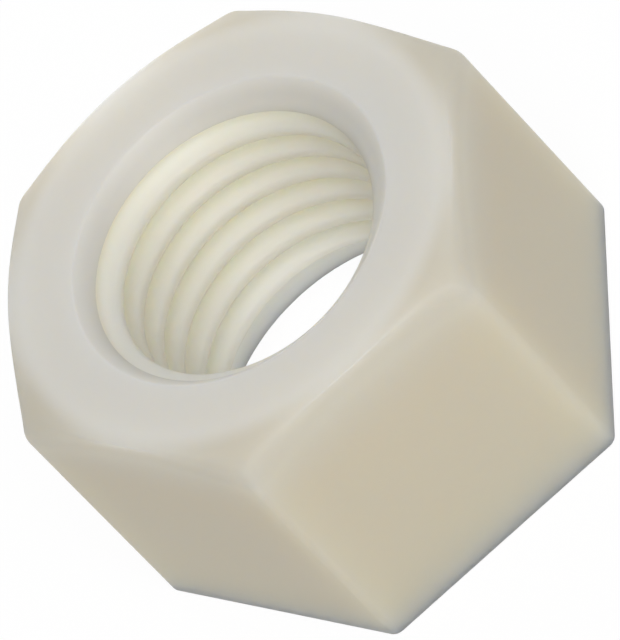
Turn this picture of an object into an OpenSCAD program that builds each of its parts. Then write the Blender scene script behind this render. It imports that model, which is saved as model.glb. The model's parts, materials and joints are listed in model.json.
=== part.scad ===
// Hexagon nut moulded in one piece from natural nylon, for a coarse metric thread.
// One face is chamfered and has a short countersink. The other is plain, and its mouth is a deeper taper.
// The nut stands on its plain face: the thread's axis is Z and the origin is the middle of that face.
// The bore is drawn at the crests of the thread, without the groove between them.

/* [Hexagon] */
// Width across the flats
across_flats = 24; // [20:0.5:40]
// Height from the plain face to the chamfered face
height = 16; // [10:0.5:30]
// Radius of the six upright edges
edge_radius = 0.4; // [0.1:0.05:1.5]

/* [Chamfer] */
// How far inside the flats the chamfer meets the face
chamfer_inset = 0.1; // [0.05:0.05:2]
// Slope of the chamfer below the face, in degrees
chamfer_angle = 30; // [15:1:45]

/* [Thread] */
// Diameter of the screw that fits
thread_diameter = 16; // [8:0.5:18]
// Rise of the thread in one turn
thread_pitch = 2; // [1:0.25:3]

/* [Mouths] */
// How far the countersink reaches past the thread on each side
countersink_margin = 0.45; // [0.1:0.05:0.8]
// Slope of the countersink from the thread's axis, in degrees
countersink_angle = 45; // [30:1:60]
// How far the taper at the plain face reaches past the thread on each side
taper_margin = 1; // [0.5:0.05:1.5]
// How far the taper's narrow end still clears the thread on each side
taper_clearance = 0.1; // [0.05:0.05:0.4]
// Depth of that taper, above which the thread begins
taper_depth = 2.3; // [0.5:0.1:3]

/* [Hidden] */
$fn = 96;
// Straight steps in one rounded edge
edge_steps = 5;

// The depth of an ISO internal thread follows from its pitch and its 60 degree form
thread_depth = thread_pitch * 5 / 8 * cos(30);
major_radius = thread_diameter / 2;
minor_radius = major_radius - thread_depth;

corner_reach = across_flats / 2 / cos(30);
chamfer_radius = across_flats / 2 - chamfer_inset;
countersink_radius = major_radius + countersink_margin;
countersink_depth = (countersink_radius - minor_radius) / tan(countersink_angle);
taper_radius = major_radius + taper_margin;
taper_end_radius = major_radius + taper_clearance;
// Between the taper and the thread's crests the wall steps in at the countersink's angle
run_in = (taper_end_radius - minor_radius) / tan(countersink_angle);
// What cuts or trims the nut reaches this far past its skin
overrun = 0.5;

// A cone's radius where it is carried on past its wide end by the overrun
function carried_on(wide_end, slope) = wide_end + overrun * slope;

// The hexagon across its rounded corners, the first of them on +X
module hexagon() {
    centre = corner_reach - edge_radius / cos(30);
    polygon([
        for (corner = [0 : 5], step = [0 : edge_steps])
            let (side = corner * 60, turn = side - 30 + 60 * step / edge_steps)
                centre * [cos(side), sin(side)] + edge_radius * [cos(turn), sin(turn)]
    ]);
}

// The round outline that trims the hexagon's corners to the chamfer
module chamfer_outline() {
    reach = corner_reach + overrun;
    rotate_extrude()
        polygon([
            [0, 0],
            [reach, 0],
            [reach, height - (reach - chamfer_radius) * tan(chamfer_angle)],
            [chamfer_radius, height],
            [0, height]
        ]);
}

// The bore at the thread's crests, with the taper below it and the countersink above
module bore() {
    taper_slope = (taper_radius - taper_end_radius) / taper_depth;
    rotate_extrude()
        polygon([
            [0, -overrun],
            [carried_on(taper_radius, taper_slope), -overrun],
            [taper_end_radius, taper_depth],
            [minor_radius, taper_depth + run_in],
            [minor_radius, height - countersink_depth],
            [carried_on(countersink_radius, tan(countersink_angle)), height + overrun],
            [0, height + overrun]
        ]);
}

module nut() {
    color([0.84, 0.82, 0.77])
        difference() {
            intersection() {
                linear_extrude(height) hexagon();
                chamfer_outline();
            }
            bore();
        }
}

nut();
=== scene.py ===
import json
import math

import bmesh
import bpy
from mathutils import Matrix, Vector


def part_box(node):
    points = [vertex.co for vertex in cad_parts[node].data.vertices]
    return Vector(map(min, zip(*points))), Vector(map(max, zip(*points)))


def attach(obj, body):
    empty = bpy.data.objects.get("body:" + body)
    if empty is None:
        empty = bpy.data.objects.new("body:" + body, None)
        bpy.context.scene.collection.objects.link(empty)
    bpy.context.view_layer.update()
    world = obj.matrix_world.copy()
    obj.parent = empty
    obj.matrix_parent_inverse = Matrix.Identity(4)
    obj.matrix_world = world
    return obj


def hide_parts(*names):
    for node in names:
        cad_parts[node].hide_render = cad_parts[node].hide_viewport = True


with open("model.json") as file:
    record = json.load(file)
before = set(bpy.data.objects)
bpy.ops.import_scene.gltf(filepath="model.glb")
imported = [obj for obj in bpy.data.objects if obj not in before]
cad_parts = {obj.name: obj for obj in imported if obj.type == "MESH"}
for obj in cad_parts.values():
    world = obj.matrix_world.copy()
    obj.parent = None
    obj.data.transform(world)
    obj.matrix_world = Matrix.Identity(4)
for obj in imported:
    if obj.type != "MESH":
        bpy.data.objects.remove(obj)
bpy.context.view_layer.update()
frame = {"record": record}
mm = 0.001
weld = 0.001 * mm                    # vertices closer together than this become one

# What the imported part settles: its box, and how far from the axis its thread's crests are
nutLow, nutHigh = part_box("nut")
nutHeight = nutHigh.z - nutLow.z
apothem = (nutHigh.y - nutLow.y) / 2
threadMount = next(m for m in frame["record"]["mounts"] if m["name"] == "thread")
crestRadius = threadMount["dims"]["r_mm"] * mm


def letGo():
    # nothing selected, nothing active
    bpy.ops.object.select_all(action="DESELECT")
    bpy.context.view_layer.objects.active = None


def takeUp(piece):
    # this piece alone selected and active
    letGo()
    piece.select_set(True)
    bpy.context.view_layer.objects.active = piece


def added(name):
    # the primitive that was just added, with its place applied to its mesh
    piece = bpy.context.active_object
    piece.name = piece.data.name = name
    bpy.ops.object.transform_apply(location=True, rotation=True, scale=True)
    return piece


def cutAway(piece, tool):
    # the tool's form out of the piece, after which the tool is gone
    takeUp(piece)
    boolean = piece.modifiers.new("cut", "BOOLEAN")
    boolean.operation = "DIFFERENCE"
    boolean.solver = "EXACT"
    boolean.object = tool
    bpy.ops.object.modifier_apply(modifier=boolean.name)
    bpy.data.objects.remove(tool)


def arc(centre, radius, start, end, steps):
    # points on an arc, by angles in degrees from straight out
    angles = [math.radians(start + (end - start) * i / steps) for i in range(steps + 1)]
    return [(centre[0] + radius * math.cos(a), centre[1] + radius * math.sin(a)) for a in angles]


def drawnOutline(name, points):
    # a line of edges through points of (radius, height), drawn out from one vertex of a tiny plane
    letGo()
    bpy.ops.mesh.primitive_plane_add(size=mm, location=(points[0][0], 0, points[0][1]))
    piece = added(name)
    bpy.ops.object.mode_set(mode="EDIT")
    bpy.ops.mesh.select_mode(type="VERT")
    bpy.ops.mesh.select_all(action="SELECT")
    bpy.ops.mesh.merge(type="CENTER")
    for start, end in zip(points, points[1:]):
        step = (end[0] - start[0], 0, end[1] - start[1])
        bpy.ops.mesh.extrude_vertices_move(TRANSFORM_OT_translate={"value": step})
    bpy.ops.object.mode_set(mode="OBJECT")
    return piece


def turnedTool(name, points, steps):
    # an outline spun round the nut's axis into a closed cutter
    tool = drawnOutline(name, points)
    bpy.ops.object.mode_set(mode="EDIT")
    bpy.ops.mesh.select_all(action="SELECT")
    bpy.ops.mesh.spin(steps=steps, angle=math.tau, center=(0, 0, 0), axis=(0, 0, 1))
    bpy.ops.mesh.select_all(action="SELECT")
    bpy.ops.mesh.remove_doubles(threshold=weld)
    bpy.ops.mesh.normals_make_consistent(inside=False)
    bpy.ops.object.mode_set(mode="OBJECT")
    return tool


nylonNut = {
    # outer form
    "cornerRadius": 0.6 * mm,      # the six upright edges
    "cornerSteps": 6,
    "flatSteps": 24,               # edges along one flat
    "chamferInset": 0.1 * mm,      # how far inside the flats the chamfer meets the face
    "chamferSlope": 30,            # degrees below the face
    "edgeReach": 0.8 * mm,         # how far the chamfer's soft edges run out on the face and the flats
    "edgeSteps": 8,
    "edgeShare": 0.48,             # the most of the chamfer's width that one soft edge takes
    "footRound": 0.25 * mm,
    # thread
    "pitch": 2 * mm,
    "crestRound": 0.4 * mm,
    "rootRound": 0.2 * mm,
    "roundSteps": 4,
    "stepsPerTurn": 96,
    "turnsPast": 1.5,              # how many turns the tap runs past each end
    # mouths
    "countersinkRadius": 8.45 * mm,
    "countersinkSlope": 45,        # degrees from the axis
    "taperRadius": 9 * mm,         # at the foot
    "taperEndRadius": 8.1 * mm,
    "taperDepth": 2.3 * mm,
    "lipRound": 0.25 * mm,         # where a mouth meets its face
    "lipSteps": 5,
    "mouthSides": 192,
    "toolPast": 1 * mm,            # how far a mouth's cutter stands out of the nut
    # finish
    "smoothUnder": 28,             # degrees between two faces that still shade as one
}


def roundTheAxis(turn):
    # an angle as counted once round, from a little before the first corner
    before = 0.01
    return (turn + before) % math.tau - before


def hexagonOutline():
    # the hexagon with its corners rounded, as (turn, radius) pairs in order round the axis
    n = nylonNut
    inner = apothem - n["cornerRadius"]
    half = inner * math.tan(math.radians(30))        # of a flat's length, up to where its corner begins
    points = []
    for side in range(6):
        spots = [(apothem, half * (2 * i / n["flatSteps"] - 1)) for i in range(n["flatSteps"] + 1)]
        spots += arc((inner, half), n["cornerRadius"], 0, 60, n["cornerSteps"])[1:-1]
        faces = math.radians(60 * side + 30)
        points += [(faces + math.atan2(y, x), math.hypot(x, y)) for x, y in spots]
    return sorted((roundTheAxis(turn), radius) for turn, radius in points)


def softCorner(start, corner, end):
    # points on a curve that runs from start to end and leans towards the corner between them
    steps = nylonNut["edgeSteps"]
    curve = []
    for t in (i / steps for i in range(steps + 1)):
        shares = ((1 - t) ** 2, 2 * t * (1 - t), t ** 2)
        pulls = list(zip(shares, (start, corner, end)))
        curve.append(tuple(sum(share * point[i] for share, point in pulls) for i in (0, 1)))
    return curve


def sideProfile(radius):
    # points of (radius, height) from foot to face, where the hexagon is this far from the axis
    n = nylonNut
    foot, top = nutLow.z, nutHigh.z
    rim = apothem - n["chamferInset"]
    slope = math.radians(n["chamferSlope"])
    out, up = math.cos(slope), math.sin(slope)       # one step along the chamfer
    width = (radius - rim) / out                     # of the chamfer, down its slope
    edge = top - width * up
    low, soft = n["footRound"], n["edgeReach"]
    reach = min(width * n["edgeShare"], soft)
    belowChamfer = (radius - reach * out, edge + reach * up)
    aboveChamfer = (rim + reach * out, top - reach * up)
    return (softCorner((radius - low, foot), (radius, foot), (radius, foot + low))
            + softCorner((radius, edge - soft), (radius, edge), belowChamfer)
            + softCorner(aboveChamfer, (rim, top), (rim - soft, top)))


def outerForm():
    # a ring at the foot, then one extruded ring after another up to the face
    outline = hexagonOutline()
    letGo()
    bpy.ops.mesh.primitive_circle_add(vertices=len(outline), radius=apothem, fill_type="NGON",
                                      location=(0, 0, nutLow.z))
    form = added("nylonNut")
    bpy.ops.object.mode_set(mode="EDIT")
    bpy.ops.mesh.select_all(action="SELECT")
    for step in range(len(sideProfile(apothem))):
        if step:
            bpy.ops.mesh.extrude_region_move()
        mesh = bmesh.from_edit_mesh(form.data)
        ring = sorted((v for v in mesh.verts if v.select),
                      key=lambda v: roundTheAxis(math.atan2(v.co.y, v.co.x)))
        for vertex, (turn, radius) in zip(ring, outline):
            out, height = sideProfile(radius)[step]
            vertex.co = (out * math.cos(turn), out * math.sin(turn), height)
        bmesh.update_edit_mesh(form.data)
    bpy.ops.mesh.select_all(action="SELECT")
    bpy.ops.mesh.normals_make_consistent(inside=False)
    bpy.ops.object.mode_set(mode="OBJECT")
    return form


def threadProfile():
    # one groove of a 60 degree thread, from the middle of a crest to the middle of the next
    n = nylonNut
    pitch = n["pitch"]
    root = crestRadius + pitch * 5 / 8 * math.cos(math.radians(30))      # the standard depth
    halfCrest, halfRoot = pitch / 8, pitch / 16      # of the flats that the standard form leaves
    crestRound, rootRound = n["crestRound"], n["rootRound"]
    slip = math.tan(math.radians(30))                # from a corner to where its round begins
    lower = [(crestRadius, 0)]
    lower += arc((crestRadius + crestRound, halfCrest - crestRound * slip), crestRound, 180, 120,
                 n["roundSteps"])
    lower += arc((root - rootRound, pitch / 2 - halfRoot + rootRound * slip), rootRound, -60, 0,
                 n["roundSteps"])
    return lower + [(radius, pitch - height) for radius, height in reversed(lower)]


def closeEnd(tool, side):
    # carries an open end of the tap on past the nut and draws it together
    bpy.ops.mesh.select_mode(type="EDGE")
    bpy.ops.mesh.select_all(action="DESELECT")
    mesh = bmesh.from_edit_mesh(tool.data)
    middle = nutLow.z + nutHeight / 2
    for edge in mesh.edges:
        edge.select_set(edge.is_boundary and (edge.verts[0].co.z - middle) * side > 0)
    mesh.select_flush_mode()
    bmesh.update_edit_mesh(tool.data)
    past = {"value": (0, 0, side * nylonNut["pitch"])}
    bpy.ops.mesh.extrude_edges_move(TRANSFORM_OT_translate=past)
    bpy.ops.mesh.merge(type="CENTER")


def tap():
    # the groove's profile screwed up the axis, with both of its ends closed
    n = nylonNut
    tool = drawnOutline("tap", threadProfile())
    screw = tool.modifiers.new("screw", "SCREW")
    screw.axis = "Z"
    screw.screw_offset = n["pitch"]
    screw.iterations = math.ceil(nutHeight / n["pitch"] + 2 * n["turnsPast"])
    screw.steps = screw.render_steps = n["stepsPerTurn"]
    screw.use_merge_vertices = True
    screw.merge_threshold = weld
    takeUp(tool)
    bpy.ops.object.modifier_apply(modifier=screw.name)
    bpy.ops.object.mode_set(mode="EDIT")
    bpy.ops.mesh.select_all(action="SELECT")
    bpy.ops.mesh.remove_doubles(threshold=2 * weld)
    bpy.ops.transform.translate(value=(0, 0, nutLow.z - n["turnsPast"] * n["pitch"]))
    closeEnd(tool, -1)
    closeEnd(tool, 1)
    bpy.ops.mesh.select_all(action="SELECT")
    bpy.ops.mesh.normals_make_consistent(inside=False)
    bpy.ops.object.mode_set(mode="OBJECT")
    return tool


def countersinkTool():
    # a cone that points down into the bore, with a rounded lip at the face
    n = nylonNut
    top, past, lip = nutHigh.z, n["toolPast"], n["lipRound"]
    slope = math.radians(n["countersinkSlope"])
    centre = (n["countersinkRadius"] + lip * math.tan(slope / 2), top - lip)
    mouth = arc(centre, lip, 90, 180 - n["countersinkSlope"], n["lipSteps"])
    tip = top - n["countersinkRadius"] / math.tan(slope)
    outline = [(0, top + past), (mouth[0][0], top + past)] + mouth + [(0, tip)]
    return turnedTool("countersinkTool", outline, n["mouthSides"])


def taperTool():
    # a slightly tapering plug from the foot up, with a cone on top where the wall steps in
    n = nylonNut
    foot, past, lip = nutLow.z, n["toolPast"], n["lipRound"]
    lean = math.atan2(n["taperRadius"] - n["taperEndRadius"], n["taperDepth"])
    centre = (n["taperRadius"] + lip * math.tan((math.pi / 2 - lean) / 2), foot + lip)
    mouth = arc(centre, lip, 270, 180 + math.degrees(lean), n["lipSteps"])
    runIn = n["taperEndRadius"] / math.tan(math.radians(n["countersinkSlope"]))
    outline = [(0, foot - past), (mouth[0][0], foot - past)] + mouth
    end = foot + n["taperDepth"]
    outline += [(n["taperEndRadius"], end), (0, end + runIn)]
    return turnedTool("taperTool", outline, n["mouthSides"])


def buildNut():
    # the outer form, tapped right through and then opened at both mouths
    nut = outerForm()
    print("outer form:", len(nut.data.vertices), "vertices")
    cutAway(nut, tap())
    print("thread tapped")
    cutAway(nut, countersinkTool())
    cutAway(nut, taperTool())
    bpy.ops.object.mode_set(mode="EDIT")
    bpy.ops.mesh.select_all(action="SELECT")
    bpy.ops.mesh.remove_doubles(threshold=weld / 2)
    bpy.ops.mesh.normals_make_consistent(inside=False)
    bpy.ops.object.mode_set(mode="OBJECT")
    bpy.ops.object.shade_smooth_by_angle(angle=math.radians(nylonNut["smoothUnder"]))
    weighted = nut.modifiers.new("weighted", "WEIGHTED_NORMAL")
    weighted.keep_sharp = True
    bpy.ops.object.modifier_apply(modifier=weighted.name)
    print("mouths cut:", len(nut.data.polygons), "faces")
    return nut


class Signal:
    # a shader socket that can stand in a sum, each step of which adds a Math node
    def __init__(self, paint, socket):
        self.paint, self.socket = paint, socket

    def worked(self, operation, first, second):
        return self.paint.add("ShaderNodeMath", {"operation": operation}, {0: first, 1: second})["Value"]

    def __add__(self, other):
        return self.worked("ADD", self, other)

    def __sub__(self, other):
        return self.worked("SUBTRACT", self, other)

    def __rsub__(self, other):
        return self.worked("SUBTRACT", other, self)

    def __mul__(self, other):
        return self.worked("MULTIPLY", self, other)


class Paint:
    # a material and the tree of nodes it is made from
    def __init__(self, name):
        self.material = bpy.data.materials.new(name)
        self.material.use_nodes = True
        self.tree = self.material.node_tree
        self.tree.nodes.clear()

    def add(self, kind, settings=None, inputs=None):
        # any node, by its type, its settings, and the values or links of its sockets
        node = self.tree.nodes.new(kind)
        for name, value in (settings or {}).items():
            setattr(node, name, value)
        for name, value in (inputs or {}).items():
            if isinstance(value, Signal):
                self.tree.links.new(value.socket, node.inputs[name])
            else:
                node.inputs[name].default_value = value
        return {output.identifier: Signal(self, output) for output in node.outputs}

    def fade(self, signal, start, end):
        # 0 up to start, 1 from end on, and smooth between them
        return self.add("ShaderNodeMapRange", {"interpolation_type": "SMOOTHSTEP"},
                        {"Value": signal, "From Min": start, "From Max": end})["Result"]

    def mix(self, share, first, second):
        # from the first colour to the second, each a signal or a colour as a screen shows it
        first, second = [c if isinstance(c, Signal) else (*linear(*c), 1) for c in (first, second)]
        return self.add("ShaderNodeMix", {"data_type": "RGBA"},
                        {0: share, 6: first, 7: second})["Result_Color"]

    def finish(self, shader):
        self.add("ShaderNodeOutputMaterial", None, {"Surface": shader})
        return self.material


def linear(red, green, blue):
    # a colour as a screen shows it, in the renderer's own scale
    return tuple(c / 12.92 if c <= 0.04045 else ((c + 0.055) / 1.055) ** 2.4
                 for c in (red, green, blue))


naturalNylon = {
    "faceColour": (0.79, 0.785, 0.765),      # the chamfered face and its countersink
    # painted shade: the chamfer darker than the face, against the extra light it takes from the lamps
    # above
    "shadedChamferColour": (0.743, 0.727, 0.682),
    "upperLightColour": (0.776, 0.766, 0.727),    # the flats just under the chamfer, painted lighter and whiter for light that comes through the nylon from the face
    "flatColour": (0.796, 0.764, 0.676),     # the six flats lower down
    "litCrestColour": (0.94, 0.92, 0.85),       # painted light: the bore and the thread's crests, lighter than the nylon outside as if lit through by the walls
    "litGrooveColour": (0.985, 0.97, 0.915),    # between the crests, painted lighter still against the shade that falls in the grooves
    # where one colour gives way to the next, as the ends of each fade
    "rimFade": (11 * mm, 12.5 * mm),         # from the axis, face to chamfer
    "rimLean": 1.5,                          # how much further out a spot counts for each mm of depth
    "chamferFade": (0.2 * mm, 1.5 * mm),     # below the chamfer's slope, from the chamfer's painted shade to the flats
    "upperLightFade": (0.5 * mm, 5 * mm),           # below the face, the upper painted light gives way to the flats' own colour
    "footLightFade": (-2 * mm, 2 * mm),           # above the foot, where painted light for the floor's bounce brings back half the upper colour
    "boreFade": (0.5 * mm, 2 * mm),          # below the face, countersink to bore
    "wallFade": (8.6 * mm, 9.5 * mm),        # from the axis, bore to the outside
    "grooveFade": (0.1 * mm, 1 * mm),        # past the crests
    # the moulded surface
    "cloudiness": 0.25,                      # how far the flats' colour drifts from patch to patch
    "patchSize": 9 * mm,
    "patchDetail": 3.0,
    "grainSize": 0.25 * mm,
    "grainDetail": 4.0,
    "grainDepth": 0.02 * mm,
    "grainStrength": 0.06,
    "roughness": 0.55,
    "refraction": 1.53,
    "glowDepth": 9 * mm,                     # how far light wanders under the surface
    "glowShares": (1.0, 0.85, 0.6),          # of that, as far as red, green and blue go
}


def paintNylon():
    n = naturalNylon
    p = Paint("naturalNylon")
    place = p.add("ShaderNodeTexCoord")["Object"]
    height = p.add("ShaderNodeSeparateXYZ", None, {"Vector": place})["Z"]
    level = {0: place, 1: (1, 1, 0)}                 # the place without its height
    outward = p.add("ShaderNodeVectorMath", {"operation": "MULTIPLY"}, level)["Vector"]
    radius = p.add("ShaderNodeVectorMath", {"operation": "LENGTH"}, {0: outward})["Value"]
    underFace = nutHigh.z - height
    overFoot = height - nutLow.z

    # Outside, the face's white fades over its rim to the chamfer's painted shade, and from there down
    # the flats, with painted light just under the chamfer and again near the foot
    outside = p.fade(underFace * n["rimLean"] + radius, *n["rimFade"])
    cloud = p.add("ShaderNodeTexNoise", None,
                  {"Vector": place, "Scale": 1 / n["patchSize"], "Detail": n["patchDetail"]})["Fac"]
    onFlat = (p.fade(underFace, *n["upperLightFade"]) * p.fade(overFoot, *n["footLightFade"])
              * (1 - cloud * n["cloudiness"]))
    underChamfer = underFace - (radius - apothem) * math.tan(math.radians(nylonNut["chamferSlope"]))
    # painted light: the flats lighter under the chamfer and near the foot
    flats = p.mix(onFlat, n["upperLightColour"], n["flatColour"])
    # the chamfer takes its painted shade, darker than the face
    outer = p.mix(p.fade(underChamfer, *n["chamferFade"]), n["shadedChamferColour"], flats)

    # Inside, the groove is painted lighter than the crests, against the shade that falls between them
    # painted light: the whole bore lighter than the outside, for light that comes through the walls
    inBore = p.fade(underFace, *n["boreFade"]) * (1 - p.fade(radius, *n["wallFade"]))
    inGroove = p.fade(radius, *[crestRadius + past for past in n["grooveFade"]])
    bore = p.mix(inGroove, n["litCrestColour"], n["litGrooveColour"])
    colour = p.mix(inBore, p.mix(outside, n["faceColour"], outer), bore)

    grain = p.add("ShaderNodeTexNoise", None,
                  {"Vector": place, "Scale": 1 / n["grainSize"], "Detail": n["grainDetail"]})["Fac"]
    bump = p.add("ShaderNodeBump", None, {
        "Height": grain,
        "Strength": n["grainStrength"],
        "Distance": n["grainDepth"],
    })["Normal"]
    surface = p.add("ShaderNodeBsdfPrincipled", {"subsurface_method": "RANDOM_WALK"}, {
        "Base Color": colour,
        "Roughness": n["roughness"],
        "IOR": n["refraction"],
        "Subsurface Weight": 1.0,
        "Subsurface Radius": n["glowShares"],
        "Subsurface Scale": n["glowDepth"],
        "Normal": bump,
    })
    return p.finish(surface["BSDF"])


studio = {
    "floorSize": 3,                # metres
    "floorColour": 0.9,
    "floorGlow": 0.95,             # how much of the floor's white is its own, for the eye alone
    "sky": 0.15,                   # strength of its white
    "lamps": [                     # name, place and size in metres, power in watts
        ("keyLamp", (0.01, -0.25, 0.43), 0.3, 2.1),
        ("backLamp", (0.227, 0.271, 0.354), 0.3, 0.32),
        ("rearLamp", (0, 0.12, 0.05), 0.1, 0.046),
    ],
}


def paleFloor():
    # matt to the nut, and nearly white to the eye and in reflections
    s = studio
    letGo()
    bpy.ops.mesh.primitive_plane_add(size=s["floorSize"], location=(0, 0, nutLow.z))
    floor = added("floor")
    p = Paint("paleFloor")
    path = p.add("ShaderNodeLightPath")
    seen = path["Is Camera Ray"] + path["Is Glossy Ray"] + path["Is Transmission Ray"]
    matt = p.add("ShaderNodeBsdfDiffuse", None, {"Color": (*[s["floorColour"]] * 3, 1)})["BSDF"]
    glow = p.add("ShaderNodeEmission", None, {"Color": (1, 1, 1, 1), "Strength": 1.0})["Emission"]
    both = p.add("ShaderNodeMixShader", None, {0: seen * s["floorGlow"], 1: matt, 2: glow})["Shader"]
    floor.data.materials.append(p.finish(both))
    floor.data.materials[0].cycles.emission_sampling = "NONE"       # the glow is no lamp
    return floor


def softLight():
    # an even white sky, and lamps that face the middle of the nut
    s = studio
    world = bpy.data.worlds.new("softSky")
    world.use_nodes = True
    sky = world.node_tree.nodes["Background"]
    sky.inputs["Color"].default_value = (1, 1, 1, 1)
    sky.inputs["Strength"].default_value = s["sky"]
    bpy.context.scene.world = world
    middle = Vector((0, 0, nutLow.z + nutHeight / 2))
    for name, place, size, power in s["lamps"]:
        letGo()
        bpy.ops.object.light_add(type="AREA", location=place)
        lamp = bpy.context.active_object
        lamp.name = name
        lamp.rotation_euler = (Vector(place) - middle).to_track_quat("Z", "Y").to_euler()
        lamp.visible_camera = False
        lamp.data.shape = "DISK"
        lamp.data.size = size
        lamp.data.energy = power


viewpoint = {
    "azimuth": 2.85,               # degrees round from the front
    "elevation": 46.12,
    "roll": -43.8,
    "lens": 946,                   # focal length in millimetres
    "distance": 0.7992,            # metres from the middle of the view
    "aimRight": 0.03 * mm,         # from the nut's middle to the middle of the view
    "aimUp": -0.245 * mm,
}


def aimCamera():
    # stands the camera on a line from the nut, rolled about that line
    v = viewpoint
    turn = (Matrix.Rotation(math.radians(v["azimuth"]), 3, "Z")
            @ Matrix.Rotation(math.radians(90 - v["elevation"]), 3, "X")
            @ Matrix.Rotation(math.radians(v["roll"]), 3, "Z"))
    right, up, back = turn.transposed()
    aim = Vector((0, 0, nutLow.z + nutHeight / 2)) + right * v["aimRight"] + up * v["aimUp"]
    letGo()
    bpy.ops.object.camera_add(location=aim + back * v["distance"], rotation=turn.to_euler())
    camera = bpy.context.active_object
    camera.name = "camera"
    camera.data.lens = v["lens"]
    bpy.context.scene.camera = camera
    bpy.context.scene.view_settings.view_transform = "Standard"


nut = buildNut()
nut.data.materials.clear()
nut.data.materials.append(paintNylon())
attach(nut, "root")
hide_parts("nut")
print("nut dressed")

paleFloor()
softLight()
aimCamera()
print("studio set")
